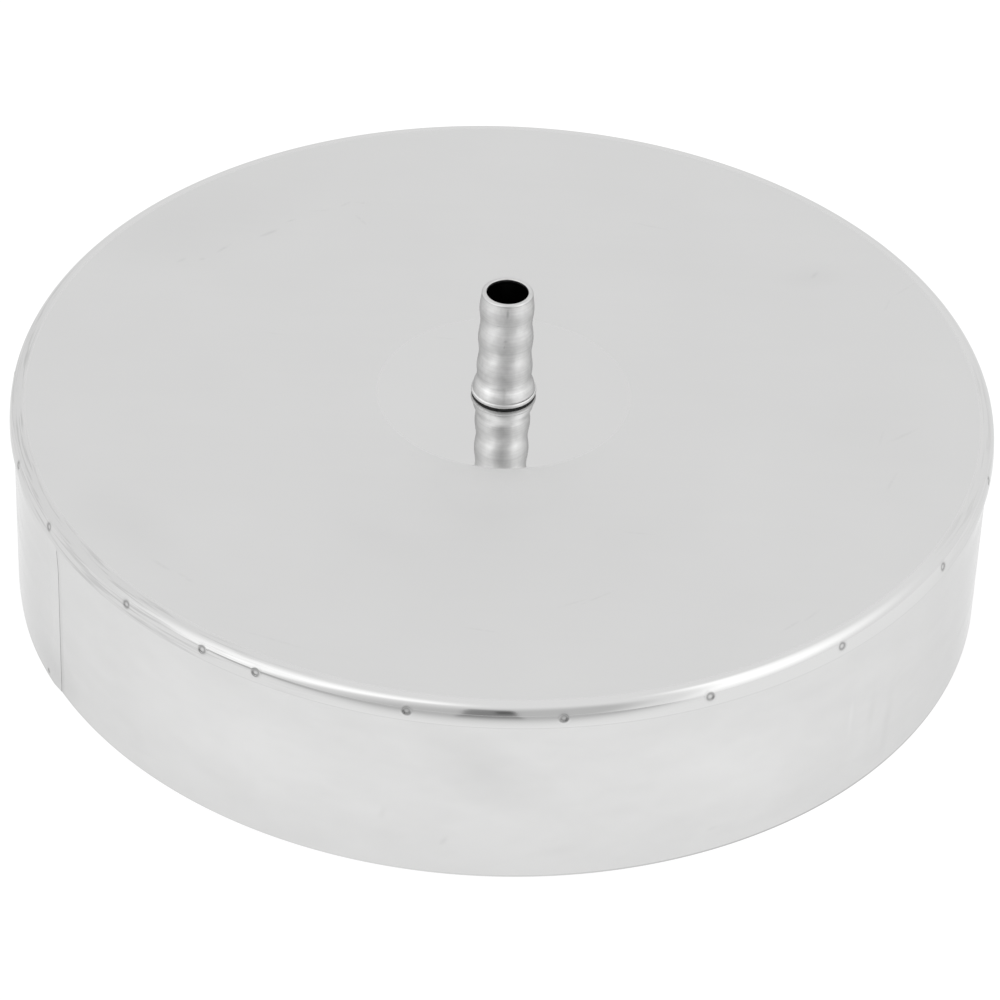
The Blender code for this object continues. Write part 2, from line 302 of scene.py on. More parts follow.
def build_lid(material):
    """The disc, its rounded rim and its flange, with the spot welds pressed into the flange."""
    upright = math.pi / 2
    flat_edge = RIM_CENTRE[0] - SUPPORT_WIDTH
    section = [(r, CAP_HEIGHT, upright) for r in (HOLE_RADIUS, *FLAT_RINGS, flat_edge)]
    turns = [upright + (RIM_MIDDLE - upright) * i / RIM_TOP_STEPS for i in range(RIM_TOP_STEPS)]
    turns += [RIM_MIDDLE + (FLANGE_LEAN - RIM_MIDDLE) * i / RIM_LOW_STEPS for i in range(RIM_LOW_STEPS)]
    section += [(*on_circle(RIM_CENTRE, RIM_RADIUS, t), t) for t in turns]
    turns = [FLANGE_LEAN * (1 - i / FLANGE_STEPS) for i in range(FLANGE_STEPS)]
    turns += [EDGE_MARK / FLANGE_CURVE, EDGE_CHAMFER / FLANGE_CURVE]
    section += [(*on_circle(FLANGE_CENTRE, FLANGE_CURVE, t), t) for t in sorted(turns, reverse=True)]
    inside = [(LID_RADIUS - EDGE_CHAMFER, FLANGE_BOTTOM)]
    inside += [(LID_RADIUS - SHEET + EDGE_CHAMFER, FLANGE_BOTTOM)]
    inside += [(LID_RADIUS - SHEET, FLANGE_BOTTOM + EDGE_CHAMFER)]
    inside += arc(FLANGE_CENTRE, FLANGE_CURVE - SHEET, FLANGE_LEAN / 3, FLANGE_LEAN, FLANGE_INNER_STEPS)
    inside += arc(RIM_CENTRE, RIM_RADIUS - SHEET, FLANGE_LEAN, upright, RIM_INNER_STEPS)[1:]
    inside += [(flat_edge, CAP_HEIGHT - SHEET), (HOLE_RADIUS, CAP_HEIGHT - SHEET)]
    section += [(r, z, None) for r, z in inside]

    weld_turn = math.asin(WELD_HEIGHT / FLANGE_CURVE)
    weld_radius, weld_z = on_circle(FLANGE_CENTRE, FLANGE_CURVE, weld_turn)
    welds = weld_azimuths()
    angles = ring_angles(welds, LID_RADIUS, 0, math.tau, RING_STEPS)[:-1]
    gaps = {a: LID_RADIUS * min(turn_between(a, weld) for weld in welds) for a in angles}
    tone = []
    edge_darkening = []

    def place(angle, point):
        radius, z, lean = point
        distance = math.hypot(gaps[angle], radius - weld_radius, z - weld_z)
        near = lean is not None and distance < WELD_PATCH
        tone.append(weld_ring(distance) if near else 0.0)
        edge_darkening.append(float(z < FLANGE_BOTTOM + EDGE_MARK / 2))
        if near:
            depth = dimple(distance)
            radius -= depth * math.cos(lean)
            z -= depth * math.sin(lean)
        return around(angle, (radius, z))

    mesh = swept_mesh("lid_sheet", section, angles, place, closed=True)
    mark(mesh, "weld", tone)
    mark(mesh, "edge", edge_darkening)
    return add_piece("lid_sheet", mesh, "lid", material)


def skirt_radius(height):
    """Outer radius of the skirt, which widens below the lid's flange."""
    share = (height - FLANGE_BOTTOM + SKIRT_FLARE_HEIGHT) / SKIRT_FLARE_HEIGHT
    tuck = SKIRT_TUCK * max(height - FLANGE_BOTTOM, 0) / (SKIRT_TOP - FLANGE_BOTTOM)
    return SKIRT_RADIUS + SKIRT_FLARE * ease(share) - tuck


def build_skirt(material):
    """A strip rolled to a ring, whose outer end lies over the inner one."""
    lap = LAP_WIDTH / SKIRT_RADIUS
    joggle = LAP_JOGGLE_WIDTH / SKIRT_RADIUS
    low = [EDGE_CHAMFER, EDGE_MARK, EDGE_MARK_END]
    low += [LAP_WELD_HEIGHT + WELD_PATCH_STEP * i for i in LAP_WELD_ROWS]
    flare = [FLANGE_BOTTOM - SKIRT_FLARE_HEIGHT * i / FLARE_STEPS for i in range(FLARE_STEPS)]
    heights = sorted({*low, *PLAIN_LEVELS, *flare, SKIRT_TOP - EDGE_CHAMFER}, reverse=True)
    section = [(EDGE_CHAMFER, SKIRT_TOP)] + [(0.0, z) for z in heights] + [(EDGE_CHAMFER, 0.0)]
    section += [(SHEET - EDGE_CHAMFER, 0.0)] + [(SHEET, z) for z in reversed(heights)]
    section += [(SHEET - EDGE_CHAMFER, SKIRT_TOP)]
    weld_at = lap / 2
    tone = []
    edge_darkening = []

    def shade(angle, z):
        """How dark the sheet is painted: along its bottom edge, with painted shade towards the right
        front, and with painted shade beside the lap's outer end.
        """
        if z <= EDGE_MARK:
            right = max(math.cos(LAP_AZIMUTH - angle - EDGE_DARKEST), 0.0) ** EDGE_FOCUS
            return EDGE_SHADE + EDGE_SHADE_RIGHT * right
        if angle >= math.tau or z >= FLANGE_BOTTOM:
            return 0.0
        low_share, high_share = LAP_SHADE_CHANGE
        low = ease((high_share - z / SKIRT_TOP) / (high_share - low_share))
        beside = 1 - (math.tau - angle) * SKIRT_RADIUS / LAP_SHADE_WIDTH
        return max(beside, 0.0) * (LAP_SHADE + (LAP_SHADE_LOW - LAP_SHADE) * low)

    def place(angle, point):
        inset, z = point
        edge_darkening.append(shade(angle, z))
        short = 1 - angle * SKIRT_RADIUS / LAP_BEVEL_WIDTH
        if inset < SHEET / 2 and short > 0:
            inset += (SHEET - LAP_BEVEL_LEFT - inset) * short
        rise = min(max((FLANGE_BOTTOM - z) / LAP_FADE_HEIGHT, 0.0), 1.0)
        raised = ease(1 - (angle - lap) / joggle)
        radius = skirt_radius(z) + (SHEET + LAP_GAP) * raised * rise - inset
        distance = math.hypot((angle - weld_at) * SKIRT_RADIUS, z - LAP_WELD_HEIGHT) / LAP_WELD_SIZE
        outer = inset < SHEET / 2
        near = outer and distance < WELD_PATCH
        tone.append(weld_ring(distance) if near else 0.0)
        if near:
            radius -= dimple(distance)
        return around(LAP_AZIMUTH - angle, (radius, z))

    angles = ring_angles([weld_at], SKIRT_RADIUS, 0, math.tau + lap, RING_STEPS)
    bevel_step = LAP_BEVEL_WIDTH / SKIRT_RADIUS / LAP_BEVEL_STEPS
    angles += [bevel_step * (i + 1) for i in range(LAP_BEVEL_STEPS)]
    shade_step = LAP_SHADE_WIDTH / SKIRT_RADIUS / LAP_SHADE_STEPS[-1]
    angles += [math.tau - shade_step * i for i in LAP_SHADE_STEPS]
    angles.sort()
    mesh = swept_mesh("skirt_band", section, angles, place, closed=False)
    mark(mesh, "weld", tone)
    mark(mesh, "edge", edge_darkening)
    return add_piece("skirt_band", mesh, "skirt", material)


def tube_radius(height):
    """Outer radius of the tube along its ribs: it narrows a little towards the mouth."""
    share = (height - RIB_START) / (RIB_END - RIB_START)
    wave = (1 - math.cos(math.tau * (height - RIB_START) / RIB_PITCH)) / 2
    return TUBE_RADIUS + (MOUTH_RADIUS - TUBE_RADIUS) * share + RIB_HEIGHT * wave


def nipple_angles():
    """Even angles round the axis, for the nipple and its washer."""
    return [math.tau * i / NIPPLE_STEPS for i in range(NIPPLE_STEPS)]


def rib_side(top, bottom, steps, inset):
    """The ribbed side of the tube from top to bottom, at a depth below its outer face."""
    heights = [top + (bottom - top) * i / steps for i in range(steps + 1)]
    return [(tube_radius(z) - inset, z) for z in heights]


def build_nipple(material):
    """The ribbed tube with its rolled-in mouth, its collar and its turned lower end."""
    lip_start = MOUTH_TOP - LIP_RADIUS
    lip_centre = (tube_radius(lip_start) - LIP_RADIUS, lip_start)
    section = arc(lip_centre, LIP_RADIUS, math.pi / 2, 0, NIPPLE_LIP_STEPS)[:-1]
    section += rib_side(lip_start, CAP_HEIGHT + COLLAR_FLARE_TOP, RIB_STEPS, 0)
    section += [(r / 1000, CAP_HEIGHT + h / 1000) for r, h in COLLAR_FLARE]
    bead = (COLLAR_RADIUS - COLLAR_BEAD_RADIUS, COLLAR_SEAT + COLLAR_BEAD_RADIUS)
    crease = on_circle(bead, COLLAR_BEAD_RADIUS, CREASE_ANGLE)
    section += [crease]
    section += arc(bead, COLLAR_BEAD_RADIUS, CREASE_ANGLE - CREASE_WIDTH, -math.pi / 2, BEAD_STEPS)
    section += [(TUBE_RADIUS, COLLAR_SEAT), (TUBE_RADIUS, CLINCH_TOP)]
    trumpet = (BORE_RADIUS + TRUMPET_RADIUS, CLINCH_BOTTOM + TRUMPET_RADIUS)
    clinch = trumpet[0] + CLINCH_LAND
    section += [(clinch, CLINCH_TOP), (clinch, CLINCH_BOTTOM)]
    section += arc(trumpet, TRUMPET_RADIUS, -math.pi / 2, -math.pi, TRUMPET_STEPS)
    bore_top = MOUTH_TOP - LIP_DEPTH - LIP_EASE
    section += rib_side(bore_top, RIB_START, BORE_STEPS, TUBE_WALL)[::-1]
    section += [(MOUTH_BORE_RADIUS, MOUTH_TOP - LIP_DEPTH)]
    lip_inner = (MOUTH_BORE_RADIUS + LIP_INNER_RADIUS, MOUTH_TOP - LIP_INNER_RADIUS)
    section += arc(lip_inner, LIP_INNER_RADIUS, math.pi, math.pi / 2, NIPPLE_LIP_INNER_STEPS)
    # Shares of painted shade in the collar's crease, kept in the edge attribute.
    crease_shade = []

    def place(angle, point):
        radius, z = point
        share = (0.5 + 0.5 * math.cos(angle - CREASE_AZIMUTH)) ** 2 if point == crease else 0.0
        crease_shade.append(share)
        return around(angle, (radius - CREASE_DEPTH * share, z - CREASE_DEPTH * share / 2))

    mesh = swept_mesh("nipple_tube", section, nipple_angles(), place, closed=True)
    mark(mesh, "edge", crease_shade)
    return add_piece("nipple_tube", mesh, "drain_nipple", material)


def build_seal(material):
    """The black washer, squeezed between the collar and the lid."""
    outer_top = (SEAL_RADIUS - SEAL_ROUNDING, COLLAR_SEAT - SEAL_ROUNDING)
    outer_low = (SEAL_RADIUS - SEAL_ROUNDING, CAP_HEIGHT + SEAL_ROUNDING)
    section = arc(outer_top, SEAL_ROUNDING, math.pi / 2, 0, SEAL_STEPS)
    section += arc(outer_low, SEAL_ROUNDING, 0, -math.pi / 2, SEAL_STEPS)
    section += [(HOLE_RADIUS, CAP_HEIGHT), (HOLE_RADIUS, COLLAR_SEAT)]
    mesh = swept_mesh("seal_washer", section, nipple_angles(), around, closed=True)
    return add_piece("seal_washer", mesh, "seal_ring", material)


class Nodes:
    """A node tree, with short calls for the nodes that it is made of."""

    def __init__(self, tree):
        self.tree = tree

    def add(self, kind, **settings):
        made = self.tree.nodes.new(kind)
        for key, value in settings.items():
            setattr(made, key, value)
        return made

    def link(self, output, target):
        self.tree.links.new(output, target)

    def feed(self, target, value):
        if isinstance(value, bpy.types.NodeSocket):
            self.link(value, target)
        else:
            target.default_value = value

    def math(self, operation, first, second=0.0, third=0.0):
        made = self.add("ShaderNodeMath", operation=operation)
        for socket, value in zip(made.inputs, (first, second, third)):
            self.feed(socket, value)
        return made.outputs[0]

    def remap(self, value, low, high, out_low, out_high):
        made = self.add("ShaderNodeMapRange")
        for name, item in (("Value", value), ("From Min", low), ("From Max", high),
                           ("To Min", out_low), ("To Max", out_high)):
            self.feed(made.inputs[name], item)
        return made.outputs["Result"]

    def soft_step(self, value, low, high):
        """0 below low and 1 above high, with a smooth rise between them."""
        made = self.add("ShaderNodeMapRange", interpolation_type='SMOOTHSTEP')
        self.link(value, made.inputs["Value"])
        made.inputs["From Min"].default_value = low
        made.inputs["From Max"].default_value = high
        return made.outputs["Result"]

    def inverse(self, value):
        return self.math('SUBTRACT', 1.0, value)

    def scaled(self, vector, share):
        made = self.add("ShaderNodeVectorMath", operation='SCALE')
        self.link(vector, made.inputs[0])
        self.feed(made.inputs["Scale"], share)
        return made.outputs["Vector"]

    def joined(self, x, y, z=0.0):
        made = self.add("ShaderNodeCombineXYZ")
        for socket, value in zip(made.inputs, (x, y, z)):
            self.feed(socket, value)
        return made.outputs["Vector"]

    def marks(self, vector, rows):
        """Light lost to oval marks, given as x, y, turn, reach, width (mm, degrees) and loss."""
        total = 0.0
        for x, y, turn, reach, width, loss in rows:
            mapping = self.add("ShaderNodeMapping", vector_type='TEXTURE')
            mapping.inputs["Location"].default_value = (x / 1000, y / 1000, 0)
            mapping.inputs["Rotation"].default_value = (0, 0, math.radians(turn))
            mapping.inputs["Scale"].default_value = (reach / 1000, width / 1000, 1)
            self.link(vector, mapping.inputs["Vector"])
            far = self.add("ShaderNodeVectorMath", operation='LENGTH')
            self.link(mapping.outputs["Vector"], far.inputs[0])
            total = self.math('ADD', self.remap(far.outputs["Value"], 0.0, 1.0, loss, 0.0), total)
        return total

    def product(self, *values):
        total = values[0]
        for value in values[1:]:
            total = self.math('MULTIPLY', total, value)
        return total

    def along(self, vector, axis):
        """How far a vector reaches along an axis."""
        made = self.add("ShaderNodeVectorMath", operation='DOT_PRODUCT')
        self.link(vector, made.inputs[0])
        made.inputs[1].default_value = axis
        return made.outputs["Value"]

    def coordinates(self, scale=(1, 1, 1), turn=0.0):
        place = self.add("ShaderNodeTexCoord")
        mapping = self.add("ShaderNodeMapping")
        mapping.inputs["Scale"].default_value = scale
        mapping.inputs["Rotation"].default_value = (0, 0, turn)
        self.link(place.outputs["Object"], mapping.inputs["Vector"])
        return mapping.outputs["Vector"]

    def noise(self, vector, scale, detail=2.0, roughness=0.5):
        made = self.add("ShaderNodeTexNoise")
        self.link(vector, made.inputs["Vector"])
        made.inputs["Scale"].default_value = scale
        made.inputs["Detail"].default_value = detail
        made.inputs["Roughness"].default_value = roughness
        return made.outputs["Fac"]

    def tint(self, factor, low, high):
        made = self.add("ShaderNodeMix", data_type='RGBA')
        self.feed(made.inputs["Factor"], factor)
        for name, colour in (("A", low), ("B", high)):
            socket = [i for i in made.inputs if i.name == name and i.type == 'RGBA'][0]
            self.feed(socket, colour)
        return [o for o in made.outputs if o.type == 'RGBA'][0]

    def seen_rays(self):
        """1 for the rays that show the background: camera, glossy and transmission rays."""
        path = self.add("ShaderNodeLightPath")
        total = path.outputs["Is Camera Ray"]
        for name in ("Is Glossy Ray", "Is Transmission Ray"):
            total = self.math('MAXIMUM', total, path.outputs[name])
        return total


class Shader(Nodes):
    """A material's nodes, round its Principled surface."""

    def __init__(self, name):
        self.material = bpy.data.materials.new(name)
        self.material.use_nodes = True
        super().__init__(self.material.node_tree)
        self.surface = self.tree.nodes["Principled BSDF"]

    def metal(self, edge_tint):
        self.surface.inputs["Metallic"].default_value = 1.0
        self.surface.inputs["Specular Tint"].default_value = (edge_tint, edge_tint, edge_tint, 1)

    def bump(self, height, strength, distance):
        made = self.add("ShaderNodeBump")
        made.inputs["Strength"].default_value = strength
        made.inputs["Distance"].default_value = distance
        self.link(height, made.inputs["Height"])
        self.link(made.outputs["Normal"], self.surface.inputs["Normal"])


# Steel: its reflectance, and the tint of what it reflects at a grazing angle
STEEL = 0.663
SKIRT_STEEL = 0.690
NIPPLE_STEEL = 0.85
STEEL_BLUE = 0.997
SHEET_EDGE_TINT = 0.84
NIPPLE_EDGE_TINT = 0.50

# Shares of the steel's reflectance: uneven tone, and marks with their strength
LID_CLOUD = 0.022
SKIRT_CLOUD = 0.025
NIPPLE_TONES = (0.86, 1.10)
WELD_STEEL = 0.30
# The next two darken the cut edges, and also give the painted shade beside the skirt's lap.
CUT_AND_SHADE_STEEL = 0.45
CUT_AND_SHADE_STRENGTH = 0.35
# The next two paint shade into the crease above the collar's bead, deepest towards CREASE_AZIMUTH.
CREASE_SHADE_STEEL = 0.35
CREASE_SHADE_STRENGTH = 0.5
# Painted highlight: the next share makes the tube lighter along the grooves between its ribs.
GROOVE_PAINTED_HIGHLIGHT = 0.10

# Mouth of the nipple: depths below it where its dark lip ends and where its bore turns black with
# painted shade, and the radii between the tube's outer and inner faces
MOUTH_DEPTHS = (0.0004, 0.0009)
MOUTH_LOSS = 0.32
BORE_DEPTHS = (0.0005, 0.0010)
BORE_SPLIT = (0.00695, 0.00705)
BORE_SHADE_COLOUR = (0.02, 0.02, 0.02, 1)

# Black rubber
SEAL_DARK = (0.006, 0.006, 0.006, 1)
SEAL_LIGHT = (0.014, 0.014, 0.014, 1)

# Finish of the lid: polished near the nipple, on top only, satin beyond, and bright on the rim
POLISHED_RADIUS = 0.0362
POLISHED_EDGE = 0.0008
POLISHED_DEPTHS = (0.0004, 0.0001)
POLISHED_ROUGHNESS = 0.03
POLISHED_LIGHT = 1.013
PLATE_ROUGHNESS = 0.45
PLATE_LIGHT = 1.050
RIM_ROUGHNESS = 0.07
RIM_START = 0.1374
RIM_FADE = 0.0012
MARKS_FADE = 0.0015
SCRATCH_NOISE = (0.28, 0.58)

# Streaks rubbed along the rim, and an even darkening of the rim and flange on the left and, less, on
# the right: how fine the streaks are, where they lie and the light that they lose
STREAKS_ALONG = 7
STREAKS_ACROSS = 1000
STREAKS_LEFT = (-0.94, -0.34, 0)
STREAKS_LEFT_FADE = (0.55, 0.92)
STREAKS_RIGHT = (0.99, -0.13, 0)
STREAKS_RIGHT_FADE = (0.90, 0.985)
STREAKS_RIGHT_SHARE = 0.4
STREAKS_EDGE = (RIM_START - 0.0010, RIM_START + 0.0004)
STREAK_NOISE = (0.48, 0.66)
STREAK_LOSS = 0.17
# An even darkening over the rim and flange on those sides, besides the streaks.
RIM_SIDE_LOSS = 0.07

# Marks on the flat of the lid, in mm and degrees: x, y, turn, reach, width and loss of light,
# where a loss below zero adds light
PLATE_MARKS = (
    (-85, 66, 50, 4.0, 0.7, 0.09),
    (-72, 75, 39, 4.6, 0.9, 0.12),
    (-66, 82, 37, 2.4, 0.6, 0.08),
    (-50, 92, 39, 2.6, 0.7, 0.07),
    (-45, 93, -8, 3.4, 0.6, 0.06),
    (-45, 84, -54, 4.0, 0.6, 0.07),
    (-97, 59, 45, 2.4, 0.8, 0.08),
    (-91, 60, 34, 1.2, 0.9, 0.09),
    (-57, 88, 11, 5.0, 0.5, 0.05),
    (-68, 24, -10, 5.2, 0.6, 0.04),
    (-17, 25, -5, 5.2, 0.5, 0.04),
    (42, 87, -16, 7.0, 0.5, 0.06),
    (91, 65, 60, 3.0, 0.9, 0.08),
    (118, 60, -132, 6.8, 0.5, 0.05),
    (112, 51, -109, 3.8, 0.5, 0.06),
    (114, -13, 39, 6.8, 0.8, 0.06),
    (110, -35, 70, 6.0, 0.6, 0.06),
    (108, -14, 77, 4.5, 0.5, 0.04),
    (39, -63, -3, 5.8, 0.6, 0.04),
    (-3, -108, -9, 6.2, 0.5, 0.05),
    (21, -95, 27, 6.0, 0.6, 0.05),
    (28, -92, 36, 8.0, 0.5, 0.06),
    (80, -101, 45, 4.6, 0.6, 0.07),
    (86, -96, 50, 4.4, 0.6, 0.06),
    (72, -117, 21, 9.0, 0.5, 0.04),
    (-91, -86, -39, 4.4, 0.8, 0.07),
    (-84, -91, -39, 3.8, 0.8, 0.06),
    (-58, -116, -21, 12.9, 0.6, 0.05),
)
# Smudges on the flat of the lid, the same way. The last row is painted light: a lighter patch in front
# of the nipple that offsets the nipple's blurred reflection in the satin sheet.
PLATE_SMUDGES_AND_LIGHT = (
    (-34, -69, -33, 20, 10, 0.022),
    (90, 64, 20, 12, 7, 0.030),
    (-93, 83, 40, 45, 26, 0.030),
    (108, -10, 60, 30, 20, 0.015),
    (-100, -70, -50, 30, 12, 0.025),
    (0, -70, 0, 90, 50, 0.020),
    (0, -43, 0, 17, 15, -0.045),
)
# Marks on the skirt, the same way: distance along it from the front, height, turn, reach, width and
# loss of light
SKIRT_MARKS_AND_HIGHLIGHTS = (
    (0, 37, -37, 32, 12, 0.070),
    (-150, 5, 0, 16, 11, 0.100),
    (127, 16, 86, 16, 2.5, 0.035),
    (119, 24, 86, 12, 2.0, 0.025),
    (110, 27, 88, 9, 1.0, -0.030),
    # Painted highlights: two broad lighter patches either side of the front, where the lamps'
    # reflections fall.
    (-67, 30, -8, 44, 18, -0.045),
    (66, 30, -20, 40, 20, -0.050),
    (-11, 12, 60, 2.6, 1.0, 0.060),
    (20, 9, 5, 9, 2.6, 0.030),
    (-28, 19, 70, 3.0, 1.0, 0.040),
    (64, 8, 10, 2.4, 1.0, 0.040),
)
# Dark painted reflections down the nipple's front, the same way
NIPPLE_PAINTED_REFLECTIONS = (
    (0.3, 92.7, 88, 1.9, 0.55, 0.36),
    (0.0, 83.2, 10, 0.9, 0.5, 0.22),
    (-0.3, 81.4, 85, 0.7, 0.3, 0.18),
    (-2.2, 88.3, 30, 1.0, 0.3, 0.14),
    (2.6, 76.0, 8, 1.2, 0.3, 0.12),
)


def steel_colour(share, steel=STEEL):
    """Stainless steel's reflectance, times a share."""
    return (steel * share, steel * share, steel * share * STEEL_BLUE, 1)


def marks_on(s, colour):
    """Darken the rings of the spot welds and the sheet along its cut edges, and paint the shade that
    the edge attribute carries beside the skirt's lap.
    """
    weld = s.add("ShaderNodeAttribute", attribute_name="weld")
    edge = s.add("ShaderNodeAttribute", attribute_name="edge")
    colour = s.tint(weld.outputs["Fac"], colour, steel_colour(WELD_STEEL))
    cut = s.math('MULTIPLY', edge.outputs["Fac"], CUT_AND_SHADE_STRENGTH)
    return s.tint(cut, colour, steel_colour(CUT_AND_SHADE_STEEL))


def round_the_axis(s):
    """A point's distance from the cap's upright axis, its height and its angle from the front."""
    split = s.add("ShaderNodeSeparateXYZ")
    s.link(s.coordinates(), split.inputs[0])
    x, y, height = split.outputs
    radius = s.math('SQRT', s.math('MULTIPLY_ADD', x, x, s.math('MULTIPLY', y, y)))
    turn = s.math('ARCTAN2', x, s.math('MULTIPLY', y, -1.0))
    return radius, height, turn


def rim_streaks_and_side_loss(s, radius, height):
    """Light lost to streaks rubbed along the rim, and lost evenly over the rim on its left and, less,
    on its right.
    """
    outward = s.scaled(s.coordinates(), s.math('DIVIDE', 1.0, radius))
    left = s.soft_step(s.along(outward, STREAKS_LEFT), *STREAKS_LEFT_FADE)
    right = s.soft_step(s.along(outward, STREAKS_RIGHT), *STREAKS_RIGHT_FADE)
    section = s.math('MULTIPLY', s.math('SUBTRACT', radius, height), STREAKS_ACROSS)
    place = s.joined(s.along(outward, (STREAKS_ALONG, 0, 0)),
                     s.along(outward, (0, STREAKS_ALONG, 0)), section)
    streak = s.soft_step(s.noise(place, scale=1.0, detail=3.0), *STREAK_NOISE)
    sides = s.math('MULTIPLY_ADD', right, STREAKS_RIGHT_SHARE, left)
    loss = s.math('MULTIPLY_ADD', streak, STREAK_LOSS, RIM_SIDE_LOSS)
    return s.product(s.soft_step(radius, *STREAKS_EDGE), sides, loss)


def lid_material():
    """Bright annealed sheet: polished on top near the nipple, duller over the rest of the disc."""
    s = Shader("lid_steel")
    s.metal(SHEET_EDGE_TINT)
    radius, height, _ = round_the_axis(s)
    cloud = s.noise(s.coordinates(), scale=26.0, detail=3.0)
    colour = s.tint(cloud, steel_colour(1 - LID_CLOUD), steel_colour(1 + LID_CLOUD))
    beyond = s.soft_step(radius, POLISHED_RADIUS - POLISHED_EDGE, POLISHED_RADIUS + POLISHED_EDGE)
    top = s.soft_step(height, *(CAP_HEIGHT - depth for depth in POLISHED_DEPTHS))
    outside = s.math('MAXIMUM', beyond, s.inverse(top))
    broken = s.soft_step(s.noise(s.coordinates(), scale=600.0), *SCRATCH_NOISE)
    flat = s.inverse(s.soft_step(radius, RIM_START - MARKS_FADE, RIM_START))
    scratches = s.product(s.marks(s.coordinates(), PLATE_MARKS), broken, flat)
    # Smudges, and the painted light in front of the nipple.
    smudges_and_light = s.product(s.marks(s.coordinates(), PLATE_SMUDGES_AND_LIGHT), flat)
    light = s.remap(outside, 0.0, 1.0, POLISHED_LIGHT, PLATE_LIGHT)
    for loss in (scratches, smudges_and_light, rim_streaks_and_side_loss(s, radius, height)):
        light = s.math('SUBTRACT', light, loss)
    s.link(s.scaled(marks_on(s, colour), light), s.surface.inputs["Base Color"])
    dull = s.remap(outside, 0.0, 1.0, POLISHED_ROUGHNESS, PLATE_ROUGHNESS)
    rim = s.soft_step(radius, RIM_START - RIM_FADE, RIM_START)
    mixed = s.math('MULTIPLY_ADD', rim, s.math('SUBTRACT', RIM_ROUGHNESS, dull), dull)
    smear = s.noise(s.coordinates((5, 60, 5), turn=0.4), scale=4.0, detail=4.0, roughness=0.6)
    rough = s.math('ADD', mixed, s.remap(smear, 0.35, 0.7, -0.008, 0.015))
    s.link(rough, s.surface.inputs["Roughness"])
    grain = s.noise(s.coordinates((400, 40, 400), turn=0.4), scale=6.0)
    s.bump(grain, strength=0.02, distance=0.00002)
    return s.material


def skirt_material():
    """The same sheet rolled to a ring, with faint upright bands, darker patches, smears and painted
    highlights.
    """
    s = Shader("skirt_steel")
    s.metal(SHEET_EDGE_TINT)
    _, height, turn = round_the_axis(s)
    band = s.noise(s.coordinates((1, 1, 0.05)), scale=30.0, detail=3.0)
    colour = s.tint(band, steel_colour(1 - SKIRT_CLOUD, SKIRT_STEEL),
                    steel_colour(1 + SKIRT_CLOUD, SKIRT_STEEL))
    unrolled = s.joined(s.math('MULTIPLY', turn, SKIRT_RADIUS), height)
    smudge = s.noise(s.coordinates((1, 1, 2.2)), scale=60.0, detail=4.0, roughness=0.6)
    light = s.math('SUBTRACT', s.inverse(s.marks(unrolled, SKIRT_MARKS_AND_HIGHLIGHTS)),
                   s.remap(smudge, 0.35, 0.75, -0.010, 0.025))
    s.link(s.scaled(marks_on(s, colour), light), s.surface.inputs["Base Color"])
    smear = s.noise(s.coordinates((6, 6, 60)), scale=4.0, detail=4.0, roughness=0.6)
    s.link(s.remap(smear, 0.3, 0.7, 0.13, 0.19), s.surface.inputs["Roughness"])
    grain = s.noise(s.coordinates((40, 40, 400)), scale=6.0)
    s.bump(grain, strength=0.03, distance=0.00002)
    return s.material


def nipple_material():
    """Drawn tube with a satin face, scuffed duller on its ribs, with painted highlights along its
    grooves, dark painted reflections down its front and black painted shade inside its bore.
    """
    s = Shader("nipple_steel")
    s.metal(NIPPLE_EDGE_TINT)
    radius, height, turn = round_the_axis(s)
    below_mouth = s.math('SUBTRACT', MOUTH_TOP, height)
    inside = s.remap(radius, *BORE_SPLIT, 1.0, 0.0)
    deep = s.remap(below_mouth, *BORE_DEPTHS, 0.0, 1.0)
    mottle = s.noise(s.coordinates(), scale=520.0, detail=3.0)
    colour = s.tint(mottle, *(steel_colour(tone, NIPPLE_STEEL) for tone in NIPPLE_TONES))
    # Painted shade in the collar's crease.
    edge = s.add("ShaderNodeAttribute", attribute_name="edge")
    crease_shade = s.math('MULTIPLY', edge.outputs["Fac"], CREASE_SHADE_STRENGTH)
    colour = s.tint(crease_shade, colour, steel_colour(CREASE_SHADE_STEEL))
    rib = s.math('MULTIPLY', s.math('SUBTRACT', height, RIB_START), math.tau / RIB_PITCH)
    groove = s.math('COSINE', rib)
    turned = s.noise(s.coordinates((60, 60, 2600)), scale=1.0)
    unrolled = s.joined(s.math('MULTIPLY', turn, TUBE_RADIUS), height)
    lip = s.product(s.inverse(s.soft_step(below_mouth, *MOUTH_DEPTHS)), MOUTH_LOSS)
    # Painted highlights along the grooves between the ribs, with faint turning lines.
    light = s.math('MULTIPLY_ADD', groove, GROOVE_PAINTED_HIGHLIGHT, s.remap(turned, 0.3, 0.7, 0.95, 1.05))
    # The nipple's dark painted reflections, and its darker lip.
    for loss in (s.marks(unrolled, NIPPLE_PAINTED_REFLECTIONS), lip):
        light = s.math('SUBTRACT', light, loss)
    # Black painted shade inside the bore, below the mouth.
    colour = s.tint(s.product(inside, deep), s.scaled(colour, light), BORE_SHADE_COLOUR)
    s.link(colour, s.surface.inputs["Base Color"])
    draw = s.noise(s.coordinates((900, 900, 60)), scale=1.0, detail=3.0)
    satin = s.math('MULTIPLY_ADD', groove, -0.06, s.remap(draw, 0.3, 0.7, 0.34, 0.44))
    s.link(satin, s.surface.inputs["Roughness"])
    s.bump(draw, strength=0.08, distance=0.00004)
    return s.material


def seal_material():
    """Matt black rubber."""
    s = Shader("seal_black")
    speck = s.noise(s.coordinates(), scale=2500.0)
    s.link(s.tint(speck, SEAL_DARK, SEAL_LIGHT), s.surface.inputs["Base Color"])
    s.link(s.remap(speck, 0.3, 0.7, 0.5, 0.7), s.surface.inputs["Roughness"])
    return s.material


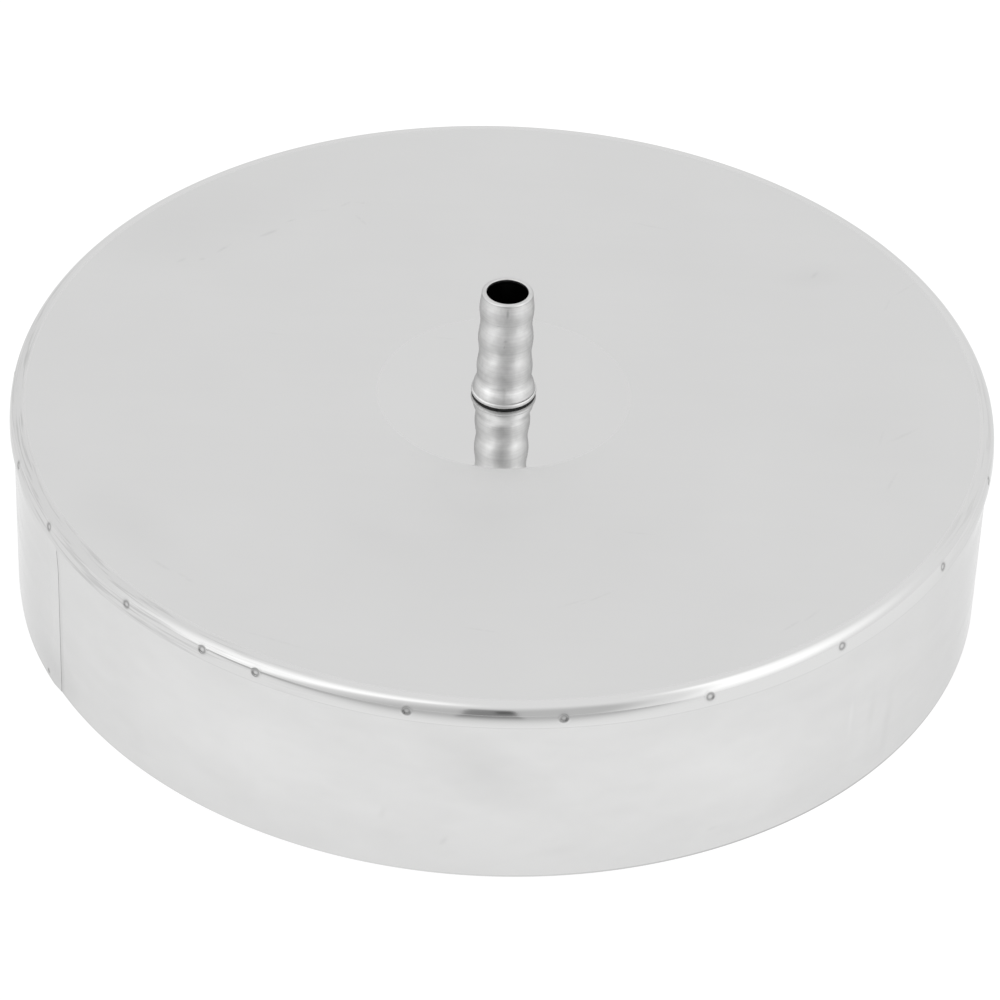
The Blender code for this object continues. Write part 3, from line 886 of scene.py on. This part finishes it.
# Tent: white, brighter on both sides of the camera and greyer behind it. The pairs are where a
# part of it fades in or out, as a share of how far a direction reaches along an axis.
TENT_MATT_STRENGTH = 0.55
TENT_LAMP = 0.50
TENT_GAP = 0.34
TENT_CORE = 0.36
TENT_CORE_DARKEST = 0.16
LEFT_EDGE = (-0.669, 0.692, 0.267)
LEFT_FRONT = (0.0, -1.0, 0.25)
LEFT_LAMP_EDGE = (-0.07, 0.20)
LEFT_LAMP_SIDE = (-0.14, 0.02)
LEFT_LAMP_FRONT = (-0.05, 0.70)
RIGHT_EDGE = (0.761, 0.583, -0.285)
RIGHT_FRONT = (0.0, -1.0, 0.85)
RIGHT_LAMP_EDGE = (-0.10, 0.08)
RIGHT_LAMP_SIDE = (0.16, 0.34)
RIGHT_LAMP_FRONT = (0.05, 0.80)
RIGHT_LAMP_RISE = (0.05, 0.60)
RIGHT_LAMP_LOW = 0.30
GAP_LEFT = (-0.50, 0.12)
GAP_RIGHT = (-0.32, -0.10)

# Camera and its stand, as a dark upright shape that the steel reflects. The wide and the narrow
# one each have an axis across, and two shares of the distance in front between which they fade
# out. The pairs below them are like the tent's.
SHADOW_WIDE = ((1, 0, 0), 0.084, 0.110)
SHADOW_NARROW = ((1, 0.058, 0), 0.028, 0.042)
SHADOW_NEAREST = 0.02
SHADOW_FRONT = (0.05, 0.25)
SHADOW_TOP = (0.66, 0.88)
DARKEST_FOOT = (0.0, 0.45)
DARKEST_TOP = (0.55, 0.72)

# Lamp overhead, floor, and a grey card that lies before the cap. The card fades in from its near
# edge and its two sides, and has a darker core, where the camera's shape falls on it.
OVERHEAD_HEIGHT = 1.8
OVERHEAD_SIZE = 1.2
OVERHEAD_POWER = 14.5
FLOOR_SIZE = 8.0
FLOOR_LEVEL = -0.00005
FLOOR_COLOUR = (0.9, 0.9, 0.9, 1)
FLOOR_GLOW = 0.80
FLOOR_GLOW_STRENGTH = 1.12
CARD_LEVEL = 0.001
CARD_FAR = 1.8
CARD_NEAR = 0.195
CARD_FULL = 0.325
CARD_CORE_NEAR = 0.24
CARD_CORE_FULL = 0.36
CARD_LEFT_SIDE = ((1.0, -1.6, 0), -0.10, 0.14)
CARD_RIGHT_SIDE = ((-1.0, -0.8, 0), -0.02, 0.16)
CARD_TONE = 0.64
CARD_CORE_TONE = 0.38


def camera_shadow(n, look, across, near, far):
    """The dark shape of the camera and its stand: 1 in its middle and 0 beside it."""
    front = n.math('MAXIMUM', n.along(look, (0, -1, 0)), SHADOW_NEAREST)
    aside = n.math('ABSOLUTE', n.math('DIVIDE', n.along(look, across), front))
    return n.inverse(n.soft_step(aside, near, far))


def build_world():
    """The tent: plain white where it is seen, with soft bright and grey areas in reflections."""
    world = bpy.data.worlds.new("studio")
    bpy.context.scene.world = world
    world.use_nodes = True
    n = Nodes(world.node_tree)
    background = n.tree.nodes["Background"]
    background.inputs["Color"].default_value = (1, 1, 1, 1)
    look = n.add("ShaderNodeTexCoord").outputs["Generated"]
    left = n.along(look, LEFT_EDGE)
    right = n.along(look, RIGHT_EDGE)
    up = n.along(look, (0, 0, 1))
    side = n.along(look, (1, 0, 0))
    left_lamp = n.product(n.soft_step(left, *LEFT_LAMP_EDGE),
                          n.inverse(n.soft_step(side, *LEFT_LAMP_SIDE)),
                          n.soft_step(n.along(look, LEFT_FRONT), *LEFT_LAMP_FRONT))
    right_lamp = n.product(n.soft_step(right, *RIGHT_LAMP_EDGE),
                           n.soft_step(side, *RIGHT_LAMP_SIDE),
                           n.soft_step(n.along(look, RIGHT_FRONT), *RIGHT_LAMP_FRONT),
                           n.remap(up, *RIGHT_LAMP_RISE, RIGHT_LAMP_LOW, 1.0))
    gap = n.product(n.inverse(n.soft_step(left, *GAP_LEFT)),
                    n.inverse(n.soft_step(right, *GAP_RIGHT)))
    front = n.soft_step(n.along(look, (0, -1, 0)), *SHADOW_FRONT)
    core = n.product(camera_shadow(n, look, *SHADOW_WIDE), front,
                     n.inverse(n.soft_step(up, *SHADOW_TOP)))
    darkest = n.product(camera_shadow(n, look, *SHADOW_NARROW), front,
                        n.inverse(n.soft_step(up, *DARKEST_TOP)),
                        n.soft_step(up, *DARKEST_FOOT))
    tent = n.math('MULTIPLY_ADD', n.math('ADD', left_lamp, right_lamp), TENT_LAMP, 1.0)
    tent = n.math('MULTIPLY_ADD', gap, -TENT_GAP, tent)
    tent = n.math('MULTIPLY_ADD', core, -TENT_CORE, tent)
    tent = n.math('MULTIPLY_ADD', darkest, -TENT_CORE_DARKEST, tent)
    path = n.add("ShaderNodeLightPath")
    shown = n.remap(path.outputs["Is Camera Ray"], 0.0, 1.0, tent, 1.0)
    strength = n.remap(n.seen_rays(), 0.0, 1.0, TENT_MATT_STRENGTH, shown)
    n.link(strength, background.inputs["Strength"])


def build_overhead():
    """A soft lamp above the cap, for matt surfaces and the floor's shadow."""
    light = bpy.data.lights.new("overhead", 'AREA')
    light.size = OVERHEAD_SIZE
    light.energy = OVERHEAD_POWER
    lamp = bpy.data.objects.new("overhead", light)
    bpy.context.scene.collection.objects.link(lamp)
    lamp.location = (0, 0, OVERHEAD_HEIGHT)
    lamp.visible_camera = False
    lamp.visible_glossy = False


def stage_face(name, corners, material):
    """A flat four-sided piece of the stage."""
    bm = bmesh.new()
    bm.faces.new([bm.verts.new(corner) for corner in corners])
    mesh = bpy.data.meshes.new(name)
    bm.to_mesh(mesh)
    bm.free()
    mesh.materials.append(material)
    face = bpy.data.objects.new(name, mesh)
    bpy.context.scene.collection.objects.link(face)
    return face


def build_card():
    """A grey card that lies before the cap, which only reflections see."""
    material = bpy.data.materials.new("card_grey")
    material.use_nodes = True
    n = Nodes(material.node_tree)
    n.tree.nodes.clear()
    place = n.coordinates()
    front = n.along(place, (0, -1, 0))
    core = n.product(camera_shadow(n, place, *SHADOW_WIDE),
                     n.soft_step(front, CARD_CORE_NEAR, CARD_CORE_FULL))
    tone = n.remap(core, 0.0, 1.0, CARD_TONE, CARD_CORE_TONE)
    glow = n.add("ShaderNodeEmission")
    n.link(tone, glow.inputs["Strength"])
    clear = n.add("ShaderNodeBsdfTransparent")
    sides = n.add("ShaderNodeMixShader")
    shown = n.soft_step(front, CARD_NEAR, CARD_FULL)
    for axis, clear_at, full_at in (CARD_LEFT_SIDE, CARD_RIGHT_SIDE):
        shown = n.math('MULTIPLY', shown, n.soft_step(n.along(place, axis), clear_at, full_at))
    n.link(shown, sides.inputs[0])
    n.link(clear.outputs[0], sides.inputs[1])
    n.link(glow.outputs[0], sides.inputs[2])
    out = n.add("ShaderNodeOutputMaterial")
    n.link(sides.outputs[0], out.inputs["Surface"])
    near, far = -CARD_NEAR, -CARD_FAR
    corners = [(far, near), (far, far), (CARD_FAR, far), (CARD_FAR, near)]
    card = stage_face("card", [(x, y, CARD_LEVEL) for x, y in corners], material)
    card.visible_camera = False
    card.visible_diffuse = False
    card.visible_shadow = False
    card.visible_transmission = False


def build_floor():
    """A plain pale floor that is white where nothing shades it, and clear from below."""
    material = bpy.data.materials.new("floor_white")
    material.use_nodes = True
    n = Nodes(material.node_tree)
    n.tree.nodes.clear()
    matt = n.add("ShaderNodeBsdfDiffuse")
    matt.inputs["Color"].default_value = FLOOR_COLOUR
    glow = n.add("ShaderNodeEmission")
    glow.inputs["Strength"].default_value = FLOOR_GLOW_STRENGTH
    lit = n.add("ShaderNodeMixShader")
    n.link(n.math('MULTIPLY', n.seen_rays(), FLOOR_GLOW), lit.inputs[0])
    n.link(matt.outputs[0], lit.inputs[1])
    n.link(glow.outputs[0], lit.inputs[2])
    clear = n.add("ShaderNodeBsdfTransparent")
    shown = n.add("ShaderNodeMixShader")
    n.link(n.add("ShaderNodeNewGeometry").outputs["Backfacing"], shown.inputs[0])
    n.link(lit.outputs[0], shown.inputs[1])
    n.link(clear.outputs[0], shown.inputs[2])
    out = n.add("ShaderNodeOutputMaterial")
    n.link(shown.outputs[0], out.inputs["Surface"])
    half = FLOOR_SIZE / 2
    corners = [(-half, -half), (half, -half), (half, half), (-half, half)]
    stage_face("floor", [(x, y, FLOOR_LEVEL) for x, y in corners], material)


def build_camera():
    """The camera, at the photograph's angle."""
    data = bpy.data.cameras.new("camera")
    data.lens = CAMERA_LENS
    data.sensor_width = CAMERA_SENSOR
    data.clip_start = 0.01
    camera = bpy.data.objects.new("camera", data)
    bpy.context.scene.collection.objects.link(camera)
    back = Vector((0, -math.cos(CAMERA_ELEVATION), math.sin(CAMERA_ELEVATION)))
    place = Matrix.Translation(Vector(CAMERA_AIM) + back * CAMERA_DISTANCE)
    tilt = Matrix.Rotation(math.pi / 2 - CAMERA_ELEVATION, 4, 'X')
    roll = Matrix.Rotation(-CAMERA_ROLL, 4, 'Z')
    camera.matrix_world = place @ tilt @ roll
    bpy.context.scene.camera = camera


build_camera()
build_lid(lid_material())
build_skirt(skirt_material())
build_nipple(nipple_material())
build_seal(seal_material())
build_world()
build_floor()
build_overhead()
build_card()
bpy.context.scene.view_settings.view_transform = 'Standard'
